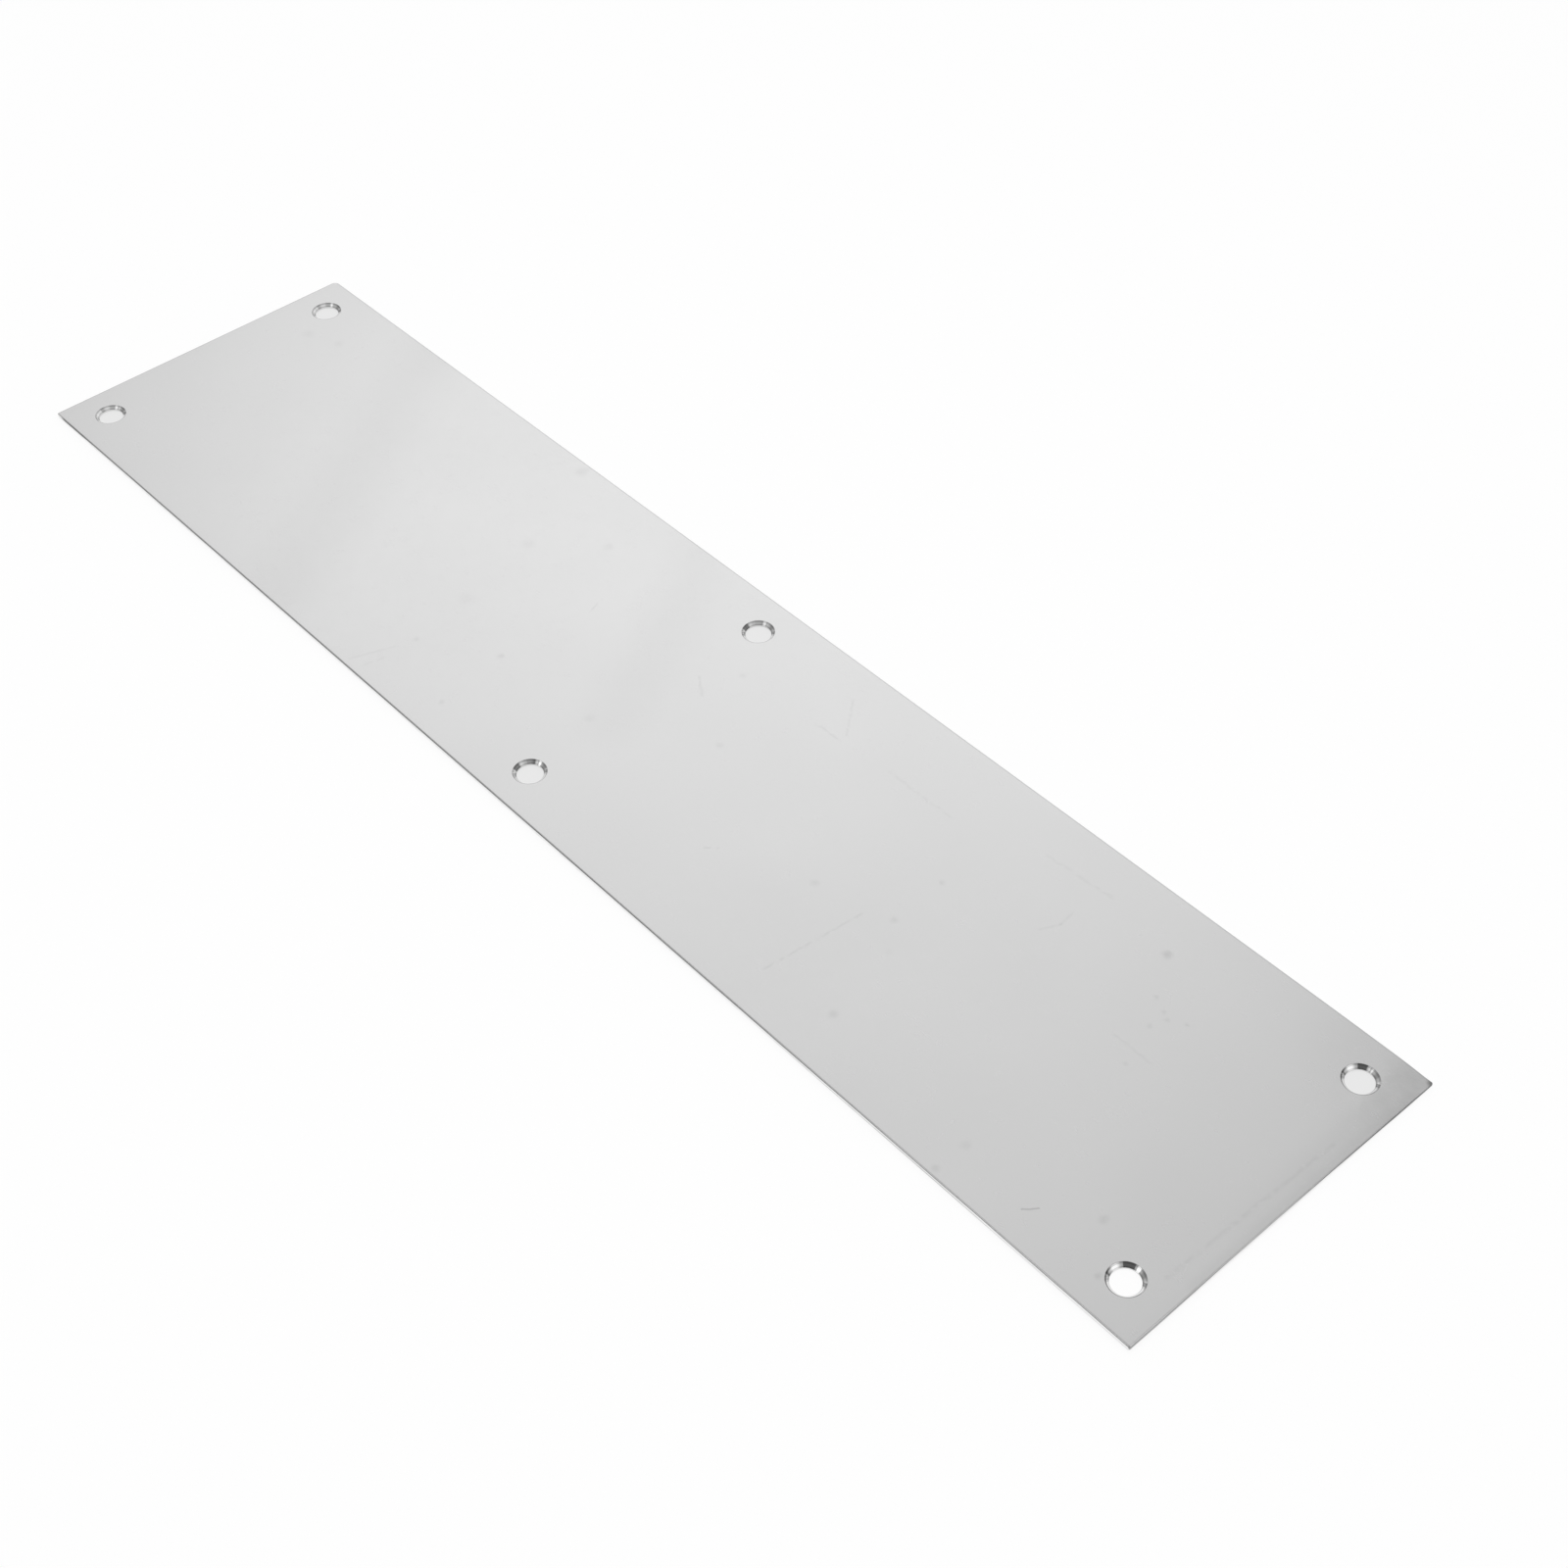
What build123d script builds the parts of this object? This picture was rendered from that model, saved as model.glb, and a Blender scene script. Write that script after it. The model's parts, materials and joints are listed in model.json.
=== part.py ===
from build123d import *
import os

# Door protector plate: one flat sheet, sheared to size, with six countersunk screw holes.
# It lies on its back. The origin is the middle of the back, X runs along the plate, and
# Z points out of the face that stays in view on the door.

# Blank
plate_length = 300
plate_width = 70
sheet_thickness = 1.0
corner_radius = 0.3

# Edges: the shear draws the face over where it enters, and leaves the back nearly square
face_roll_radius = 0.2
back_edge_break = 0.08

# Screw holes: drilled through, then countersunk from the face, with a short land left below
holes_along = 3
holes_across = 2
hole_inset = 8
bore_diameter = 4.9
countersink_diameter = 6.2
countersink_angle = 90
bore_back_break = 0.08

# Worked out from the above
hole_spacing_along = (plate_length - 2 * hole_inset) / (holes_along - 1)
hole_spacing_across = (plate_width - 2 * hole_inset) / (holes_across - 1)

with BuildPart() as protector_plate:
    # The blank, with its corners just taken off
    with BuildSketch():
        RectangleRounded(plate_length, plate_width, corner_radius)
    extrude(amount=sheet_thickness)

    # The outline rolls over into the edge at the face, and is only broken at the back
    outline_at_face = protector_plate.edges().group_by(Axis.Z)[-1]
    fillet(outline_at_face, face_roll_radius)
    outline_at_back = protector_plate.edges().group_by(Axis.Z)[0]
    chamfer(outline_at_back, back_edge_break)

    # Two rows of three holes, square to the face
    with Locations(Plane.XY.offset(sheet_thickness)):
        with GridLocations(hole_spacing_along, hole_spacing_across, holes_along, holes_across):
            CounterSinkHole(
                radius=bore_diameter / 2,
                counter_sink_radius=countersink_diameter / 2,
                counter_sink_angle=countersink_angle,
            )

    # The drill's burr is taken off where each bore comes out of the back
    back_face = protector_plate.faces().sort_by(Axis.Z)[0]
    bore_mouths = back_face.edges().filter_by(GeomType.CIRCLE)
    bore_mouths = bore_mouths.filter_by(lambda edge: edge.radius > corner_radius)
    chamfer(bore_mouths, bore_back_break)

protector_plate.part.label = "protector_plate"
os.makedirs("parts", exist_ok=True)
export_step(protector_plate.part, "parts/protector_plate.step")

land_depth = sheet_thickness - (countersink_diameter - bore_diameter) / 2 - bore_back_break
print("hole centres are", hole_spacing_along, "mm apart along and", hole_spacing_across, "mm across")
print("land left in each hole", round(land_depth, 2), "mm, for a cone of", countersink_angle, "degrees")
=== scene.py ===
# %% [markdown]
# # A door protector plate
# The object is one thin metal sheet that is screwed to a door where hands and trolleys knock
# it. It has three things to show: a satin face, six bright countersunk holes, and edges as a
# shear leaves them. The lesson builds the sheet first, then its finishes, then a plain studio.
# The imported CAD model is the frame: it gives the size, the holes and the place of everything.

# %% Load the frame and keep its box
import json
import math
import bmesh
import bpy
from mathutils import Matrix, Vector


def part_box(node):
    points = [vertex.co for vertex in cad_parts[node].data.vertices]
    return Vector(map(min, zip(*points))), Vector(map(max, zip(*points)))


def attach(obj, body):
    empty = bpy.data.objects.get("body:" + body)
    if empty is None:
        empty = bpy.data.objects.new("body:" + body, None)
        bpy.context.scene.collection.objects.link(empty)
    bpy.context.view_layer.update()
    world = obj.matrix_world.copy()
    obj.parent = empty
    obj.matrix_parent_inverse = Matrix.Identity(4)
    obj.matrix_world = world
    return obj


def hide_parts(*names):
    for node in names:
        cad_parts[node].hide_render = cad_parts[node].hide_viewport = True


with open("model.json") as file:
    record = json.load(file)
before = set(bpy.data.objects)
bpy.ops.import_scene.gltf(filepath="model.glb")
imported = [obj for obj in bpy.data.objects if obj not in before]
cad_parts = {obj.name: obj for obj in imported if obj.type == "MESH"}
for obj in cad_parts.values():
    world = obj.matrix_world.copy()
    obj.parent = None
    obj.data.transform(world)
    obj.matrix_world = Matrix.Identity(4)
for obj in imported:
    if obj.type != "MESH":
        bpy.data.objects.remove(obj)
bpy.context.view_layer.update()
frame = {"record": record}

mm = 0.001
plate_low, plate_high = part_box("protector_plate")
length, width, thickness = plate_high - plate_low
back_level, face_level = plate_low.z, plate_high.z
print("plate", [round(side / mm, 2) for side in (length, width, thickness)], "mm")

# %% [markdown]
# ## The camera
# A thin plate tells where the camera stood: its four straight edges and their vanishing points
# fix the lens, the distance and a small roll. Those were worked out once from the photo's
# frame of 1600 by 1600, and they are kept as real sizes here.

# %% Stand the camera where the photo was taken
lens_mm = 55.6
camera_place = Vector((0.2568, -0.1911, 0.3054))
looked_at = Vector((0.0329, 0.0039, face_level))
camera_roll = math.radians(-1.26)

bpy.ops.object.camera_add(location=camera_place)
camera = bpy.context.object
camera.name = "camera"
camera.data.lens = lens_mm
camera.data.clip_start = 10 * mm
straight_view = (looked_at - camera_place).to_track_quat("-Z", "Y").to_matrix()
rolled_view = straight_view @ Matrix.Rotation(camera_roll, 3, "Z")
camera.rotation_euler = rolled_view.to_euler()
bpy.context.scene.camera = camera
print("camera", round((looked_at - camera_place).length, 3), "m from the plate")

# %% [markdown]
# ## Where the holes are
# The holes are the plate's mounts, so the frame's record knows them: four corner screws in a
# rectangle, and two in a line between them. Reading them there keeps the looks and the
# construction on the same centres.

# %% Read the hole centres and the bore from the record
mounts = {mount["name"]: mount["dims"] for mount in frame["record"]["mounts"]}
half_along = mounts["corner_screws"]["spacing_x_mm"] * mm / 2
half_across = mounts["corner_screws"]["spacing_y_mm"] * mm / 2
bore_radius = mounts["corner_screws"]["hole_r_mm"] * mm
hole_centres = [
    Vector((along, across, 0))
    for along in (-half_along, 0, half_along)
    for across in (-half_across, half_across)
]
print(len(hole_centres), "holes of", round(2 * bore_radius / mm, 2), "mm bore")

# %% [markdown]
# ## Selecting by place
# Operators act on what is selected. In a script nobody clicks, so faces and edges are picked
# by a test on where they are and which way they face, and the operator then does the work.

# %% Helpers that select vertices, faces or edges of the mesh in hand
def near(a, b, allowed=0.01 * mm):
    return abs(a - b) < allowed


def nearest_hole(point):
    """The hole centre closest to a point, and how far the point is from its axis."""
    flat = Vector((point.x, point.y, 0))
    centre = min(hole_centres, key=lambda hole: (hole - flat).length)
    return centre, (centre - flat).length


def select_vertices(test):
    bpy.ops.mesh.select_mode(type="VERT")
    bpy.ops.mesh.select_all(action="DESELECT")
    work = bmesh.from_edit_mesh(bpy.context.object.data)
    for vertex in work.verts:
        vertex.select_set(test(vertex.co) and not vertex.hide)
    bmesh.update_edit_mesh(bpy.context.object.data)
    return sum(vertex.select for vertex in work.verts)


def select_faces(test):
    bpy.ops.mesh.select_mode(type="FACE")
    bpy.ops.mesh.select_all(action="DESELECT")
    work = bmesh.from_edit_mesh(bpy.context.object.data)
    for face in work.faces:
        face.select_set(test(face.calc_center_median(), face.normal))
    bmesh.update_edit_mesh(bpy.context.object.data)
    return sum(face.select for face in work.faces)


def select_edges(test):
    bpy.ops.mesh.select_mode(type="EDGE")
    bpy.ops.mesh.select_all(action="DESELECT")
    work = bmesh.from_edit_mesh(bpy.context.object.data)
    for edge in work.edges:
        if test(edge):
            edge.select_set(True)
    bmesh.update_edit_mesh(bpy.context.object.data)
    return sum(edge.select for edge in work.edges)


off_centre = nearest_hole(Vector((half_along, half_across + bore_radius, 0)))[1]
print("the rim of a bore lies", round(off_centre / mm, 2), "mm from its hole's middle")

# %% [markdown]
# ## The blank
# The real blank is cut from flat stock, so the mesh starts flat too. A boolean would punch the
# holes in one go, but it leaves long slivers in the face. A grid of small squares takes more
# steps and stays even, and it can follow the slight droop that shearing leaves at one end.

# %% Lay out a flat grid and round its corners
cell = 2 * mm
corner_radius = 0.3 * mm
dulled_corner_radius = 1.1 * mm
corner_segments = 6

bpy.ops.object.select_all(action="DESELECT")
bpy.ops.mesh.primitive_grid_add(
    x_subdivisions=round(length / cell),
    y_subdivisions=round(width / cell),
    size=1,
    location=(0, 0, back_level),
)
plate = bpy.context.object
plate.name = "plate_sheet"
plate.scale = (length, width, 1)
bpy.ops.object.transform_apply(location=True, rotation=True, scale=True)

corners = [Vector((x, y, 0)) for x in (-length / 2, length / 2) for y in (-width / 2, width / 2)]
dulled_corner = Vector((-length / 2, width / 2, 0))
bpy.ops.object.mode_set(mode="EDIT")
for corner in corners:
    select_vertices(lambda place: (place - corner).length < 0.1 * mm)
    bpy.ops.mesh.bevel(
        offset=dulled_corner_radius if corner == dulled_corner else corner_radius,
        segments=corner_segments,
        affect="VERTICES",
        clamp_overlap=False,
    )
print("blank of", len(plate.data.polygons), "squares before its holes")

# %% [markdown]
# ## The holes
# Each hole takes the place of a square window of cells. A ring is set in the window and
# bridged to it, then drawn in to the bore, so the squares around a hole turn into neat rings.

# %% Cut a window for each hole, and bridge a ring into it
window_half = 3 * cell
collar_radius = 4.5 * mm
ring_vertices = 48


def in_window(point, centre, slack=0.0):
    reach = window_half + slack
    return abs(point.x - centre.x) < reach and abs(point.y - centre.y) < reach


draw_in = bore_radius / collar_radius
for centre in hole_centres:
    centre_at_back = centre + Vector((0, 0, back_level))
    select_faces(lambda place, normal: in_window(place, centre))
    bpy.ops.mesh.delete(type="FACE")
    bpy.ops.mesh.primitive_circle_add(
        vertices=ring_vertices, radius=collar_radius, location=centre_at_back
    )
    select_edges(
        lambda edge: edge.is_boundary
        and all(in_window(vertex.co, centre, 0.1 * mm) for vertex in edge.verts)
        or not edge.link_faces,
    )
    bpy.ops.mesh.bridge_edge_loops()
    select_edges(
        lambda edge: edge.is_boundary
        and all(near((vertex.co - centre).xy.length, collar_radius) for vertex in edge.verts)
    )
    bpy.ops.mesh.extrude_edges_move()
    bpy.ops.transform.resize(value=(draw_in, draw_in, 1), center_override=centre_at_back)
print("holes drawn in from", round(collar_radius / mm, 2), "to", round(bore_radius / mm, 2), "mm")

# %% [markdown]
# ## Thickness, countersinks and edges
# Extruding the whole sheet gives it its gauge. A countersink is then a bevel on the mouth of
# the bore: as wide as it is deep, which is a 90 degree cone. The shear rolls the face over
# into the edge, so the outline gets a rounder bevel at the face than at the back.

# %% Extrude the sheet and bevel what a drill and a shear would shape
countersink_radius = 3.1 * mm
countersink_width = countersink_radius - bore_radius
face_roll = 0.2 * mm
face_roll_segments = 5
back_break = 0.08 * mm

bpy.ops.mesh.select_all(action="SELECT")
bpy.ops.mesh.extrude_region_move(TRANSFORM_OT_translate={"value": (0, 0, thickness)})
bpy.ops.mesh.select_all(action="SELECT")
bpy.ops.mesh.normals_make_consistent(inside=False)


def on_ring(edge, radius, level):
    """True for an edge that runs round a hole at this radius and height."""
    return all(
        near(nearest_hole(vertex.co)[1], radius) and near(vertex.co.z, level)
        for vertex in edge.verts
    )


def on_outline(edge, level):
    """True for an edge of the plate's outline at this height: it joins a flat face to a wall."""
    flat_sides = [face for face in edge.link_faces if abs(face.normal.z) > 0.9]
    at_level = all(near(vertex.co.z, level) for vertex in edge.verts)
    far_from_holes = nearest_hole(edge.verts[0].co)[1] > window_half
    return at_level and far_from_holes and len(flat_sides) == 1


def bevel_edges(size, segments=1):
    bpy.ops.mesh.bevel(
        offset=size, segments=segments, affect="EDGES", offset_type="OFFSET", clamp_overlap=False
    )


mouths = select_edges(lambda edge: on_ring(edge, bore_radius, face_level))
bevel_edges(countersink_width)
print("countersunk", mouths // ring_vertices, "holes")
select_edges(lambda edge: on_ring(edge, bore_radius, back_level))
bevel_edges(back_break)
select_edges(lambda edge: on_outline(edge, face_level))
bevel_edges(face_roll, face_roll_segments)
select_edges(lambda edge: on_outline(edge, back_level))
bevel_edges(back_break)
bpy.ops.object.mode_set(mode="OBJECT")
print("sheet of", len(plate.data.polygons), "faces")

# %% [markdown]
# ## The end that the shear bent
# The shear pressed one corner of this plate down a little, and the end beside it, so they
# reflect a darker part of the room than the face does. Proportional editing does the same to
# the mesh: it moves the corner, and takes the neighbours along less and less. The back is
# hidden first, because the plate still lies flat on it.

# %% Press the corner down, gently at first and more at its tip, then the end beside it
bent_corner = Vector((plate_high.x, plate_high.y, 0))


def at_bent_tip(place):
    return (place - bent_corner).xy.length < 1.5 * corner_radius


def bent_end_above(side):
    """A test for the end's edge from this place on the width up to the bent corner."""
    return lambda place: place.x > plate_high.x - 0.4 * mm and place.y > side


presses = [(at_bent_tip, 0.14 * mm, 22 * mm), (at_bent_tip, 0.14 * mm, 7 * mm)]
presses += [(bent_end_above(side * mm), 0.03 * mm, 5 * mm) for side in (-8, 6, 16, 25)]

bpy.ops.object.mode_set(mode="EDIT")
select_vertices(lambda place: place.z < 1.5 * back_break)
bpy.ops.mesh.hide(unselected=False)
for pressed_here, drop, reach in presses:
    print("pressing", select_vertices(pressed_here), "points", round(drop / mm, 2), "mm down")
    bpy.ops.transform.translate(
        value=(0, 0, -drop),
        use_proportional_edit=True,
        proportional_edit_falloff="SMOOTH",
        proportional_size=reach,
    )
bpy.ops.mesh.reveal(select=False)
bpy.ops.object.mode_set(mode="OBJECT")

# %% [markdown]
# ## Smooth where it is round, flat where it is flat
# Smooth shading blends the normals of neighbouring faces, which suits the rolled edge and the
# cones. It would also tint the flat face beside them. Weighted normals let the large flat
# faces win, so the reflection stays straight right up to the edge.

# %% Shade the sheet
round_below = math.radians(32)

bpy.ops.object.select_all(action="DESELECT")
plate.select_set(True)
bpy.context.view_layer.objects.active = plate
bpy.ops.object.shade_smooth_by_angle(angle=round_below)
weighted = plate.modifiers.new("flat faces win", "WEIGHTED_NORMAL")
weighted.keep_sharp = True
bpy.ops.object.modifier_apply(modifier=weighted.name)
print("sheet of", len(plate.data.vertices), "vertices is shaded")

# %% [markdown]
# ## Writing materials as sums
# A material is a web of nodes. Written one by one they are hard to follow, so a small class
# wraps a node's output and lets Python do sums with it: 1 - mask adds the Math node it needs.
# Every other node comes from one method, which sets its options first and its inputs after.

# %% A wire: one output of a node, which can be used in sums
class Wire:
    def __init__(self, tree, socket=None):
        self.tree = tree
        self.socket = socket

    def node(self, kind, settings, inputs, output=0):
        """Adds a node of this kind, and gives back one of its outputs."""
        made = self.tree.nodes.new(kind)
        for setting, value in settings.items():
            setattr(made, setting, value)
        for name, value in inputs.items():
            if isinstance(value, Wire):
                self.tree.links.new(value.socket, made.inputs[name])
            else:
                made.inputs[name].default_value = value
        return Wire(self.tree, made.outputs[output] if made.outputs else None)

    def sum(self, operation, first, second=0.0):
        return self.node("ShaderNodeMath", {"operation": operation}, {0: first, 1: second})

    def __add__(self, other):
        return self.sum("ADD", self, other)

    def __radd__(self, other):
        return self.sum("ADD", other, self)

    def __sub__(self, other):
        return self.sum("SUBTRACT", self, other)

    def __rsub__(self, other):
        return self.sum("SUBTRACT", other, self)

    def __mul__(self, other):
        return self.sum("MULTIPLY", self, other)

    def __rmul__(self, other):
        return self.sum("MULTIPLY", other, self)

    def __abs__(self):
        return self.sum("ABSOLUTE", self)

    def larger(self, other):
        return self.sum("MAXIMUM", self, other)

    def smaller(self, other):
        return self.sum("MINIMUM", self, other)

    def vector(self, operation, first, second=(0, 0, 0), output=0):
        settings = {"operation": operation}
        return self.node("ShaderNodeVectorMath", settings, {0: first, 1: second}, output)

    def dot(self, direction):
        return self.vector("DOT_PRODUCT", self, direction, "Value")

    def part(self, axis):
        return self.node("ShaderNodeSeparateXYZ", {}, {0: self}, axis)

    def fade(self, full, none):
        """1 where the value is full, 0 where it is none, and a soft step between."""
        settings = {"interpolation_type": "SMOOTHSTEP"}
        inputs = {"Value": self, "From Min": none, "From Max": full}
        return self.node("ShaderNodeMapRange", settings, inputs)

    def scaled(self, x, y, z):
        return self.node("ShaderNodeMapping", {}, {"Vector": self, "Scale": (x, y, z)})

    def noise(self, scale, detail=2.0):
        """Soft noise from 0 to 1 at this place, with its middle at 0.5."""
        inputs = {"Vector": self, "Scale": scale, "Detail": detail}
        return self.node("ShaderNodeTexNoise", {}, inputs)

    def tint(self, low, high):
        """The colour low where the value is 0, and high where it is 1."""
        settings = {"data_type": "RGBA"}
        return self.node("ShaderNodeMix", settings, {0: self, 6: low, 7: high}, 2)


print("wires add, subtract, multiply, fade and tint")

# %% [markdown]
# ## What all three metals share
# Satin, cut and sheared metal are the same aluminium, so they start from one fully metallic
# shader. They differ in their colour, their roughness and the fine relief that a tool leaves,
# and those are all that a finish hands over. Patterns are written in millimetres on the piece.

# %% Start a metal, and finish one
def grey(level):
    return (level, level, level, 1)


# The near-black below is the colour of every painted dark line of shade: hole rims, arrises, the
# edge's band and its contact shadow.
painted_shade_grey = grey(0.1)


def new_metal(name):
    """An empty metal, its shader, and the place on the piece in millimetres."""
    material = bpy.data.materials.new(name)
    material.use_nodes = True
    shader = material.node_tree.nodes["Principled BSDF"]
    shader.inputs["Metallic"].default_value = 1.0
    start = Wire(material.node_tree)
    place = start.node("ShaderNodeTexCoord", {}, {}, "Object").scaled(1 / mm, 1 / mm, 1 / mm)
    return material, shader, place


def finish_metal(shader, colour, roughness, height, relief):
    """Joins a metal's colour, roughness and height of its fine relief, in metres."""
    bump_inputs = {"Strength": 1.0, "Distance": relief, "Height": height}
    normal = height.node("ShaderNodeBump", {}, bump_inputs)
    links = height.tree.links
    links.new(colour.socket, shader.inputs["Base Color"])
    links.new(roughness.socket, shader.inputs["Roughness"])
    links.new(normal.socket, shader.inputs["Normal"])


print("a dark line on the metal is", painted_shade_grey[0], "bright")

# %% [markdown]
# ## The marks of use, and painted shade
# The face carries a few marks: small dark specks and short scratches. Painted shade and painted
# reflection are drawn the same way: a faint line along the crease where the end starts to bend,
# the darker bent end with a dark spot at its tip, and two wide darker reflection bands. Each is a
# stroke from one point to another with a soft side. A speck is a stroke with no length.
# Scratches are broken up by a noise, because a real one skips, and every stroke wanders a little.

# %% List the marks and the painted shade: from, to, half width in millimetres, and the share of light it takes
specks = [
    # The first speck is painted shade: the dark tip of the bent corner.
    ((149.9, 34.7), 1.2, 0.60),
    ((104.6, 23.8), 1.5, 0.14),
    ((76.7, -24.8), 1.4, 0.08),
    ((132.7, -21.7), 1.3, 0.08),
    ((109.3, -27.3), 1.5, 0.05),
    ((109.2, -33.8), 1.2, 0.08),
    ((138.8, -29.6), 0.9, 0.10),
    ((53.8, -7.9), 1.4, 0.06),
    ((73.3, -9.2), 1.1, 0.03),
    ((68.8, -3.8), 1.2, 0.07),
    ((68.3, 7.9), 1.0, 0.06),
    ((109.4, 15.8), 0.8, 0.06),
    ((112.3, 14.4), 0.8, 0.06),
    ((113.8, 13.5), 0.9, 0.06),
    ((112.7, 10.7), 0.9, 0.05),
    ((116.6, 15.2), 0.8, 0.06),
    ((115.2, 2.2), 0.8, 0.05),
    ((17.9, 2.0), 1.3, 0.05),
    ((7.1, 16.9), 1.2, 0.04),
    ((-3.3, -10.8), 1.6, 0.04),
    ((-25.0, -28.0), 1.0, 0.06),
    ((-27.5, -12.5), 1.2, 0.07),
    ((-42.0, -21.2), 1.1, 0.05),
    ((-38.3, 22.0), 1.8, 0.05),
    ((-60.0, 32.7), 2.2, 0.07),
    ((-49.6, 11.2), 2.2, 0.035),
    ((-45.0, -7.5), 2.6, 0.03),
    ((-130.0, 22.0), 1.8, 0.035),
    ((-137.5, 19.2), 2.2, 0.035),
]
scratches = [
    ((62.1, -26.7), (64.2, -6.7), 0.50, 0.05),
    ((123.2, -29.5), (124.8, -27.5), 0.30, 0.24),
    ((75.8, 25.4), (90.0, 26.4), 0.55, 0.035),
    ((43.3, 19.6), (58.3, 19.6), 0.55, 0.035),
    ((25.8, 18.3), (31.7, 18.5), 0.60, 0.05),
    ((25.7, 27.2), (31.6, 20.2), 0.45, 0.045),
    ((1.7, 10.8), (6.3, 7.9), 0.50, 0.05),
    ((34.9, -16.3), (36.6, -14.6), 0.40, 0.06),
    ((87.9, 19.2), (88.3, 15.8), 0.50, 0.04),
    ((88.3, 15.8), (86.7, 12.5), 0.50, 0.04),
    ((110.0, 5.3), (117.9, 5.2), 0.60, 0.035),
    ((-27.1, 11.2), (-25.8, 7.1), 0.35, 0.06),
    ((-46.2, -33.7), (-42.9, -25.0), 0.50, 0.04),
    ((-43.0, -33.0), (-42.0, -29.0), 0.50, 0.04),
]
# A line of painted shade along the crease where the bent end starts to turn down.
bend_crease_shade = [((147.1, 14.2), (145.8, -22.5), 0.70, 0.045)]
# Painted shade on the bent end, which reflects a darker part of the room.
bent_end_shade = [
    ((150.0, 30.0), (150.0, -20.0), 2.6, 0.05),
    ((150.0, 36.0), (150.0, 24.0), 4.5, 0.04),
]
# Two wide bands of painted darker reflection running across the face.
dark_reflection_bands = [
    ((-115.0, 36.0), (-72.0, -30.0), 13.0, 0.03),
    ((-24.0, 36.0), (0.0, -8.0), 11.0, 0.03),
]
print(len(specks), "specks,", len(scratches), "scratches,", len(dark_reflection_bands), "dark_reflection_bands")

# %% Draw a mark as a soft stroke, and add up all of them
def stroke(place, start, end, half_width):
    """1 along the line from start to end, fading to 0 at half_width from it."""
    start, end = Vector((*start, 0)), Vector((*end, 0))
    along = end - start
    across = place.vector("SUBTRACT", place, tuple(start))
    if along.length > 0:
        share = across.dot(tuple(along / along.length_squared)).larger(0.0).smaller(1.0)
        nearest = share.node(
            "ShaderNodeVectorMath", {"operation": "SCALE"}, {0: tuple(along), "Scale": share}
        )
        across = across.vector("SUBTRACT", across, nearest)
    distance = across.vector("LENGTH", across, output="Value")
    return distance.fade(full=0.0, none=half_width)


def marks_and_painted_shade(place):
    """The share of light that the marks and the painted shade take away, 0 where the face is
    clean.
    """
    flat = place.vector("MULTIPLY", place, (1, 1, 0))
    wander = flat.noise(0.6) * 1.2 - 0.6
    flat = flat.vector("ADD", flat, wander.node("ShaderNodeCombineXYZ", {}, {1: wander}))
    taken = 0.0
    for start, end, half_width, depth in scratches + bend_crease_shade:
        taken = stroke(flat, start, end, half_width) * depth + taken
    taken = taken * flat.noise(1.1, detail=2.0).fade(full=0.54, none=0.34)
    round_marks = [(point, point, size, depth) for point, size, depth in specks]
    for start, end, half_width, depth in round_marks + bent_end_shade + dark_reflection_bands:
        taken = stroke(flat, start, end, half_width) * depth + taken
    return taken


darkest_speck = max(depth for point, size, depth in specks)
print("the darkest speck takes", darkest_speck, "of the light")

# %% [markdown]
# ## Painted dark lines where the metal turns
# A thin line of painted shade darkens the metal wherever the face ends: round each hole, and
# along the end at -X and the side at +Y. It is drawn by distance. The plate is the same about
# its middle, so one corner hole and one middle hole stand for all six once the sign of X and Y
# is dropped.

# %% Masks for a ring round each hole, and for the two edges
def ring(place, radius, full, none):
    """1 on a thin ring round the middle of each hole, 0 elsewhere, in millimetres."""
    along, across = abs(place.part("X")), abs(place.part("Y"))
    from_column = along.smaller(abs(along - half_along / mm))
    from_row = across - half_across / mm
    away = place.node("ShaderNodeCombineXYZ", {}, {0: from_column, 1: from_row})
    away = away.vector("LENGTH", away, output="Value")
    return abs(away - radius).fade(full=full, none=none)


def arris(place):
    """1 where the face rolls over into the end at -X and the side at +Y, for a painted dark line.
    """
    past_end = -1 * place.part("X") - length / 2 / mm
    past_side = place.part("Y") - width / 2 / mm
    return past_end.larger(past_side).fade(full=-0.15, none=-0.45)


print("rings are drawn", round(countersink_radius / mm, 2), "mm from a hole's middle")

# %% [markdown]
# ## Satin metal
# The face has been brushed along its length and sealed, which gives a silky look with hardly
# any line to see. Its colour barely changes: soft clouds, a mottle the size of a fingertip, a
# grain that is twelve times longer than it is wide, and a fine speckle. The grain and the
# mottle also vary the roughness.

# %% The satin of the face, and the plainer one of the back
def satin(name, level, roughness, marked_and_shaded):
    material, shader, place = new_metal(name)
    clouds = place.noise(0.035, detail=1.0)
    mottle = place.noise(0.4, detail=3.0)
    grain = place.scaled(0.5, 6.0, 6.0).noise(1.0, detail=3.0)
    speckle = place.noise(5.0, detail=1.0)
    mixed = clouds * 0.3 + mottle * 0.25 + grain * 0.25 + speckle * 0.2
    colour = mixed.tint(grey(level - 0.06), grey(level + 0.06))
    rough = roughness + (grain - 0.5) * 0.10 + (mottle - 0.5) * 0.06
    if marked_and_shaded:
        # The marks include painted shade and painted reflection besides the real specks and
        # scratches.
        taken = marks_and_painted_shade(place)
        colour = taken.tint(colour, grey(0.0))
        # Painted shade: a dark line round each countersink's rim, and a fainter one along the
        # arris of the -X end and the +Y side.
        rim = ring(place, countersink_radius / mm, full=0.02, none=0.07)
        colour = (rim * 0.8).tint(colour, painted_shade_grey)
        colour = (arris(place) * 0.22).tint(colour, painted_shade_grey)
    finish_metal(shader, colour, rough, grain * 0.6 + speckle * 0.4, relief=0.0006 * mm)
    return material


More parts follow.
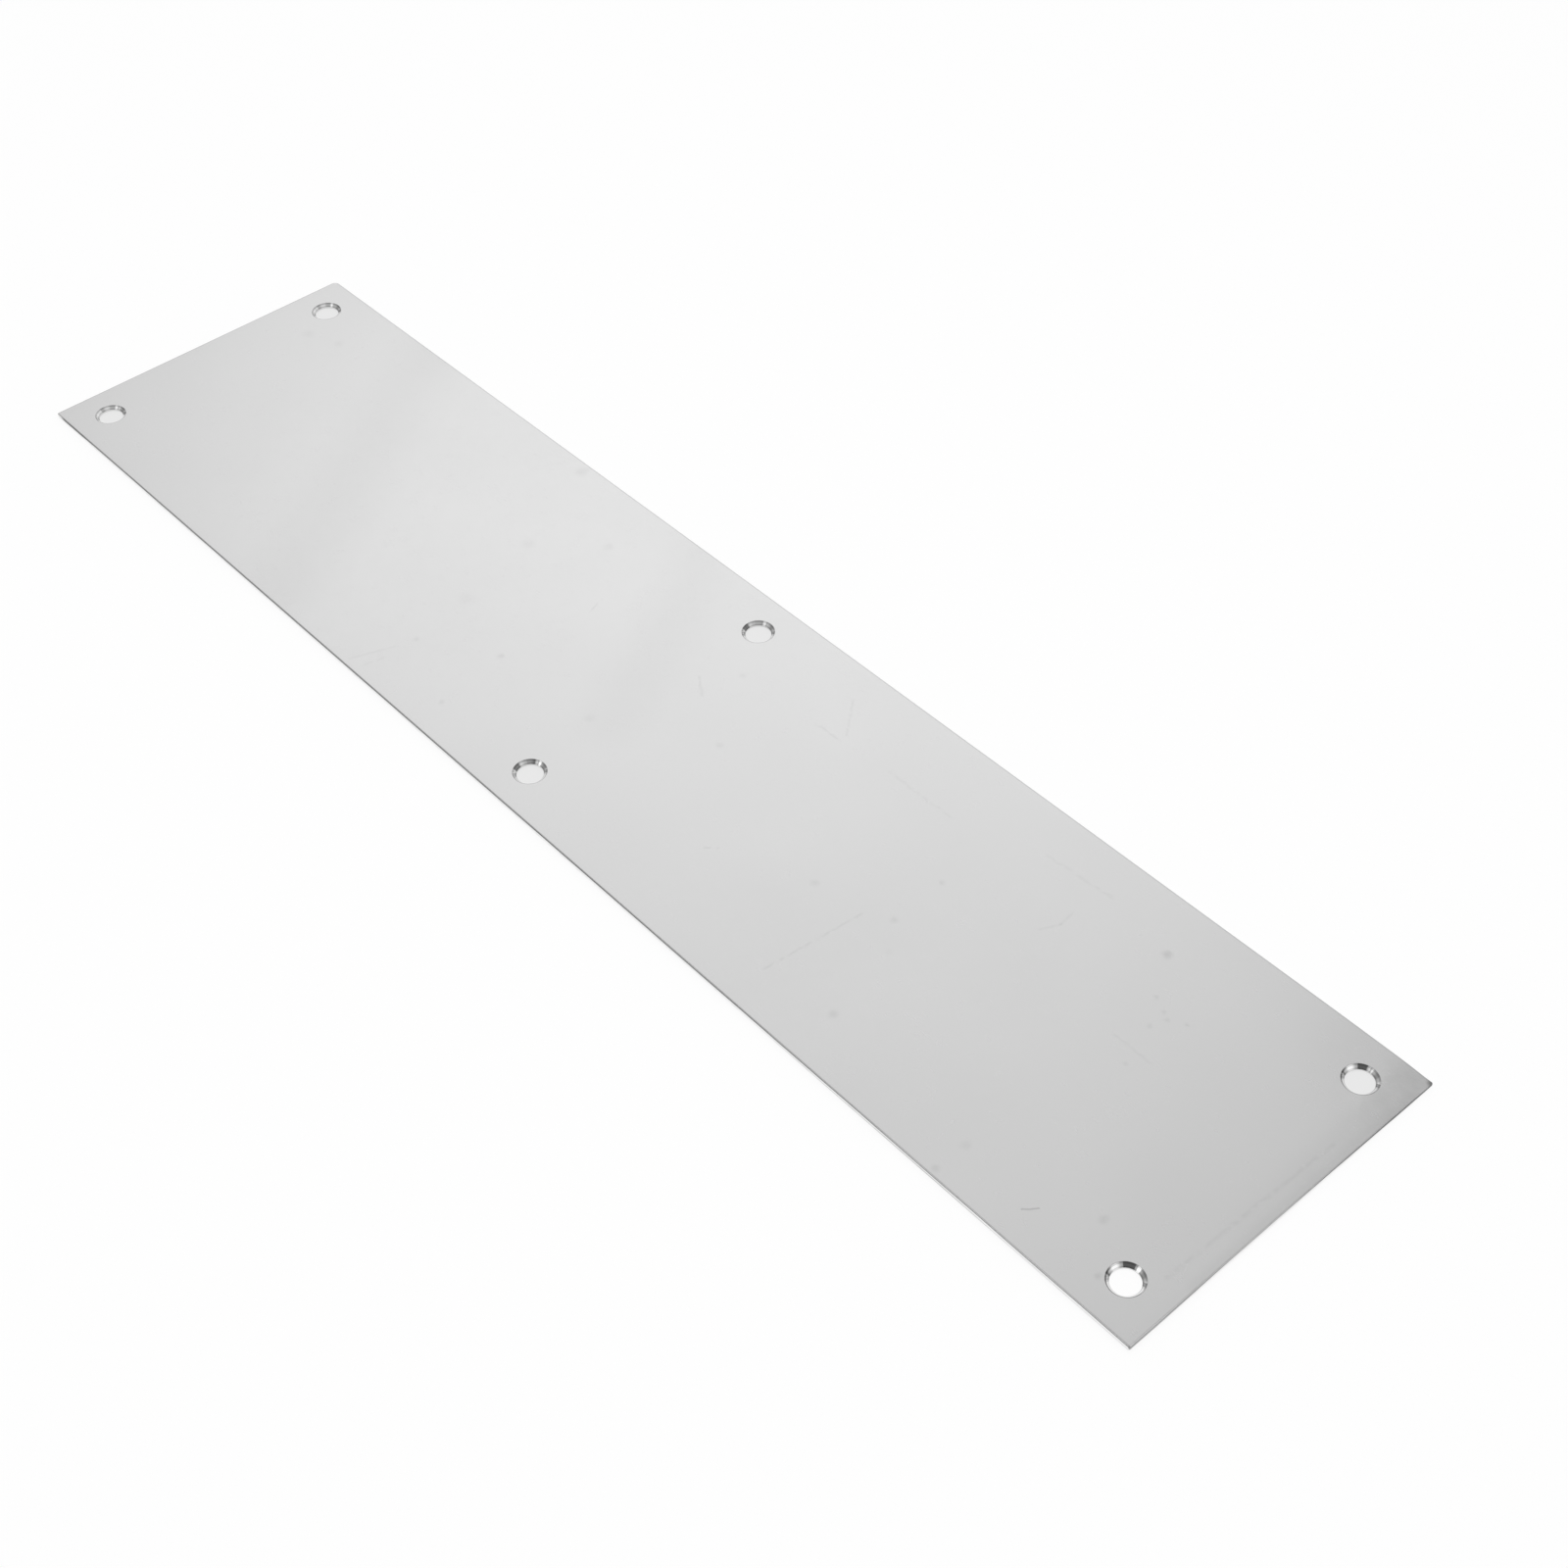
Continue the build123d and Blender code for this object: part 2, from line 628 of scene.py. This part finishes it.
face_satin = satin("face_satin", level=0.79, roughness=0.25, marked_and_shaded=True)
back_satin = satin("back_satin", level=0.74, roughness=0.34, marked_and_shaded=False)
print("satin of", len(face_satin.node_tree.nodes), "nodes on the face")

# %% [markdown]
# ## Cut metal
# The countersinks were cut after the face was finished, so they are bare and brighter. The
# tool leaves fine rings. A ring is a place of one height in a cone, so a noise that reads only
# the height draws them, in the bores as well. Each cone has a line of painted shade where it
# meets the face and a fainter one where it meets the bore. In the two holes at the bent end the
# upper painted line is darker on one side.

# %% The bare metal of the countersinks and bores
def turned(name, level, roughness):
    material, shader, place = new_metal(name)
    rings = place.scaled(0.03, 0.03, 22.0).noise(1.0, detail=2.0)
    patches = place.noise(1.2, detail=2.0)
    colour = (rings * 0.6 + patches * 0.4).tint(grey(level - 0.07), grey(level + 0.07))
    # Painted shade: a dark line at the top of each cone, darker on one side in the two holes at
    # the bent end, and a fainter one at its foot.
    rim = ring(place, countersink_radius / mm - 0.11, full=0.06, none=0.14)
    foot = ring(place, bore_radius / mm + 0.09, full=0.04, none=0.12)
    along, across = place.part("X"), place.part("Y")
    row = across.sum("SIGN", across) * (half_across / mm)
    rim_shade_side = (across - row).fade(full=-1.0, none=0.6) * along.fade(full=138.0, none=130.0)
    colour = (rim * (0.36 + rim_shade_side * 0.49) + foot * 0.3).tint(colour, painted_shade_grey)
    rough = roughness + (rings - 0.5) * 0.06
    finish_metal(shader, colour, rough, rings, relief=0.0006 * mm)
    return material


cut_metal = turned("cut_metal", level=0.83, roughness=0.09)
print("cut metal of", len(cut_metal.node_tree.nodes), "nodes in the holes")

# %% [markdown]
# ## The sheared edge
# A shear presses the metal first and then breaks it, and the edge shows both. Its top carries
# a dark band of painted shade, which is tallest at the two corners of the bent end. Below it
# the edge is rubbed bright, with fine lines that run straight down. The foot is torn, so it is
# greyer and rougher, and it is taller on one stretch of the long sides, where the grey foot is
# also painted shadow. The near side also has a thin line of painted contact shadow along its
# foot, on its way to the bent end.

# %% The edge: a painted dark band, a bright one, a torn foot and a painted contact shadow
band_starts = 0.60
torn_ends = 0.10
contact_shadow_top = 0.14


def sheared(name, level, roughness):
    """The metal of the edge. Its heights are in millimetres above the back."""
    material, shader, place = new_metal(name)
    along, across, height = place.part("X"), place.part("Y"), place.part("Z")
    lines = place.scaled(9.0, 9.0, 0.35).noise(1.0, detail=2.0)
    tearing = place.noise(7.0, detail=4.0)
    stretches = place.scaled(1, 1, 0).noise(0.08, detail=2.0)
    near_end = along.fade(full=110.0, none=55.0)
    on_end = along.fade(full=149.9, none=149.7)
    on_near_side = across.fade(full=-34.8, none=-34.0)
    end_corners = abs(across).fade(full=30.0, none=10.0) * on_end
    bent_end = across.fade(full=16.0, none=-4.0) * on_end
    far_corner = along.fade(full=-142.0, none=-134.0)
    far_tip = along.fade(full=-149.0, none=-147.0)

    unevenness = (place.scaled(1, 1, 0).noise(0.5) - 0.5) * 0.4
    # Along one stretch of the long sides the torn foot is taller, and there its grey is also
    # painted shadow.
    torn_and_shadow_stretch = near_end * along.fade(full=112.0, none=126.0)
    torn_top = torn_ends + torn_and_shadow_stretch * 0.28 + unevenness
    torn = (height - torn_top).fade(full=-0.06, none=0.06)
    # A thin line of painted contact shadow along the foot of the near side.
    contact_shadow_line = (height - contact_shadow_top).fade(full=-0.04, none=0.04)
    contact_shadow_line = contact_shadow_line * on_near_side * along.fade(full=110.0, none=96.0)
    # The dark band at the top is painted shade, and the contact shadow line at the foot joins it.
    taller = end_corners * 0.40 + bent_end * 0.16 + far_corner * 0.19 - near_end * 0.10
    band_foot = band_starts - taller + (stretches - 0.5) * 0.3
    band = (height - band_foot).fade(full=0.06, none=-0.06)
    strength = 0.90 - near_end * 0.12 + bent_end * 0.25 + (stretches - 0.5) * 0.5
    darkness = band * strength.smaller(1.0) * (1 - far_tip * 0.8)
    darkness = darkness.larger(contact_shadow_line * 0.5)

    colour = (lines * 0.7 + tearing * 0.3).tint(grey(level - 0.09), grey(level + 0.09))
    colour = (torn * 0.8).tint(colour, grey(0.6))
    colour = darkness.tint(colour, painted_shade_grey)
    rough = roughness + (lines - 0.5) * 0.12 + torn * 0.18 + band * 0.1
    finish_metal(shader, colour, rough, lines * 0.3 + torn * tearing, relief=0.01 * mm)
    return material


sheared_edge = sheared("sheared_edge", level=0.90, roughness=0.24)
print("sheared metal of", len(sheared_edge.node_tree.nodes), "nodes on the edge")

# %% [markdown]
# ## Painting the sheet
# One piece can wear several finishes, because each face keeps the number of the slot that it
# takes its material from. The face's satin goes on everything first. Then the back, the holes
# and the edge are picked by where they are and which way they face, and painted over it.

# %% Give each part of the sheet its own finish
counts_as_flat = 0.6


def paint(material, test):
    plate.data.materials.append(material)
    bpy.ops.object.mode_set(mode="EDIT")
    plate.active_material_index = len(plate.data.materials) - 1
    painted = select_faces(test)
    bpy.ops.object.material_slot_assign()
    bpy.ops.object.mode_set(mode="OBJECT")
    print(material.name, "on", painted, "faces")


def in_hole(place):
    return nearest_hole(place)[1] < countersink_radius


def on_edge(place, normal):
    return abs(normal.z) < counts_as_flat and not in_hole(place)


paint(face_satin, lambda place, normal: True)
paint(back_satin, lambda place, normal: normal.z < -counts_as_flat)
paint(cut_metal, lambda place, normal: in_hole(place))
paint(sheared_edge, on_edge)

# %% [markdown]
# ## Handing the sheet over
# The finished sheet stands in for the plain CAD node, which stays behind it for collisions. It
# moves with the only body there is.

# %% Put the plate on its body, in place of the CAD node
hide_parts("protector_plate")
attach(plate, "root")
print(plate.name, "replaces the CAD plate, with", len(plate.data.materials), "finishes")

# %% [markdown]
# ## The floor
# The photo's background is plain white. A large sheet does that: to the camera and to the
# metal it is mostly its own even white, and the rest is lit like paper, so that the plate
# keeps its soft shadow. Under the plate the sheet lies in shade, which shows in the holes. One
# corner hole lets enough light in to look white.

# %% Lay the floor
floor_side = 16

bpy.ops.mesh.primitive_plane_add(size=floor_side, location=(0, 0, back_level))
floor = bpy.context.object
floor.name = "floor"
print("floor of", floor_side, "m")

# %% Make its paper
floor_white = 0.90
own_white = 0.80
own_brightness = 1.02
shade_under_plate = 0.22
lit_hole = (half_along, -half_across, 0)

floor_paper = bpy.data.materials.new("floor_paper")
floor_paper.use_nodes = True
floor_paper.node_tree.nodes.clear()
paper = Wire(floor_paper.node_tree)
seen_by_camera = paper.node("ShaderNodeLightPath", {}, {}, "Is Camera Ray")
seen_in_metal = paper.node("ShaderNodeLightPath", {}, {}, "Is Glossy Ray")
seen_through = paper.node("ShaderNodeLightPath", {}, {}, "Is Transmission Ray")
seen = seen_by_camera.larger(seen_in_metal).larger(seen_through)
spot_on_floor = paper.node("ShaderNodeTexCoord", {}, {}, "Object")
past_end = abs(spot_on_floor.part("X")) - length / 2
past_side = abs(spot_on_floor.part("Y")) - width / 2
under = past_end.larger(past_side).fade(full=-1 * mm, none=0.0)
from_lit_hole = spot_on_floor.vector("DISTANCE", spot_on_floor, lit_hole, output="Value")
under = from_lit_hole.fade(full=9 * mm, none=4 * mm) * under
lit = paper.node("ShaderNodeBsdfDiffuse", {}, {"Color": grey(floor_white)})
own_light = own_brightness - under * shade_under_plate
glow = paper.node("ShaderNodeEmission", {}, {"Color": grey(1.0), "Strength": own_light})
surface = paper.node("ShaderNodeMixShader", {}, {0: seen * own_white, 1: lit, 2: glow})
paper.node("ShaderNodeOutputMaterial", {}, {"Surface": surface})
floor.data.materials.append(floor_paper)
print("paper that is", own_white, "its own white to the camera and to metal")

# %% [markdown]
# ## The studio
# Bare metal shows the room more than itself. The countersinks show this one all round, like
# small round mirrors, so the room can be read back from them: a pale wall behind the plate
# with a brighter window in it, softboxes to the right and the left of the camera, and a dark
# screen low behind the camera. The flat face picks up only the wall and the window. The
# camera itself sees plain white wherever it looks past the floor.

# %% Aim at a direction, and draw a soft spot round it
def aim(azimuth, elevation):
    """The direction that lies this many degrees round from +X and this many up."""
    turn, climb = math.radians(azimuth), math.radians(elevation)
    flat = math.cos(climb)
    return (flat * math.cos(turn), flat * math.sin(turn), math.sin(climb))


def spot(direction, axis, solid, faded):
    """1 within the solid angle from the axis, fading to 0 at the faded one, in degrees."""
    off_axis = direction.dot(axis)
    off_axis = off_axis.sum("ARCCOSINE", off_axis)
    return off_axis.fade(full=math.radians(solid), none=math.radians(faded))


print("straight up is", [round(part, 2) for part in aim(0, 90)])

# %% List the room: where each part lies, its solid and faded angle, and its brightness
dim_room = 0.48
darkest = 0.05
walls = {
    "pale wall": (aim(136, 0), 41, 50, 0.30),
    "window": (aim(140, 48), 14.5, 18.5, 0.32),
    "skylight": (aim(3, 66), 12.5, 24.5, 0.27),
    "dark ceiling": (aim(0, 90), 16, 26, -0.18),
    "side wall": (aim(79, 31), 19, 24, 0.34),
    "dark doorway": (aim(64, 18), 10.5, 17.5, -0.60),
    "doorway, its curtain": (aim(39, 26), 6, 15.5, -0.34),
    "dark corner": (aim(-146, 18), 6.5, 21, -0.19),
}
softboxes = {
    "right": (aim(13, 14), 13, 35.5, 0.69),
    "left": (aim(-111, 26), 6, 11, 1.00),
    "left, its top": (aim(-92, 43.5), 3, 12, 0.75),
}
screen_azimuth = -59.5
screen_depth = 0.78
screen_half_width = 0.42
screen_side_fade = 0.05
screen_top = 0.642
screen_top_fade = 0.117
low_wall = 1.0
print("room with", len(walls), "walls and", len(softboxes), "softboxes")

# %% Build the room as a world, one part at a time
world = bpy.data.worlds.new("studio")
bpy.context.scene.world = world
world.use_nodes = True
world.node_tree.nodes.clear()
room = Wire(world.node_tree)
direction = room.node("ShaderNodeTexCoord", {}, {}, "Generated")
level = dim_room
for axis, solid, faded, strength in walls.values():
    level = spot(direction, axis, solid, faded) * strength + level
level = level.larger(darkest)

sideways = abs(direction.dot(aim(screen_azimuth + 90, 0)))
screen = sideways.fade(full=screen_half_width, none=screen_half_width + screen_side_fade)
below_top = direction.part("Z").fade(full=screen_top, none=screen_top + screen_top_fade)
screen = below_top * screen
screen = direction.dot(aim(screen_azimuth, 0)).fade(full=0.05, none=0.0) * screen
level = (1 - screen * screen_depth) * level
for axis, solid, faded, strength in softboxes.values():
    level = spot(direction, axis, solid, faded) * strength + level
low = direction.part("Z").fade(full=0.03, none=0.12)
level = level + low * (low_wall - level)
seen_directly = room.node("ShaderNodeLightPath", {}, {}, "Is Camera Ray")
level = level + seen_directly * (1.0 - level)
background = room.node("ShaderNodeBackground", {}, {"Color": grey(1.0), "Strength": level})
room.node("ShaderNodeOutputWorld", {}, {"Surface": background})
bpy.context.scene.view_settings.view_transform = "Standard"
print("world of", len(world.node_tree.nodes), "nodes")

# %% [markdown]
# ## A lamp for the paper
# The room is dim for matt things, because metal needs dark places to reflect. One wide lamp
# overhead brings paper to its plain white. Metal does not see it.

# %% Hang the overhead lamp
overhead_power = 11.5
bpy.ops.object.light_add(type="AREA", location=(0, 0, 1.5))
overhead = bpy.context.object
overhead.name = "overhead"
overhead.data.energy = overhead_power
overhead.data.size = 1.2
overhead.visible_glossy = False
print("lamp of", overhead_power, "W, as wide as", round(overhead.data.size, 2), "m")
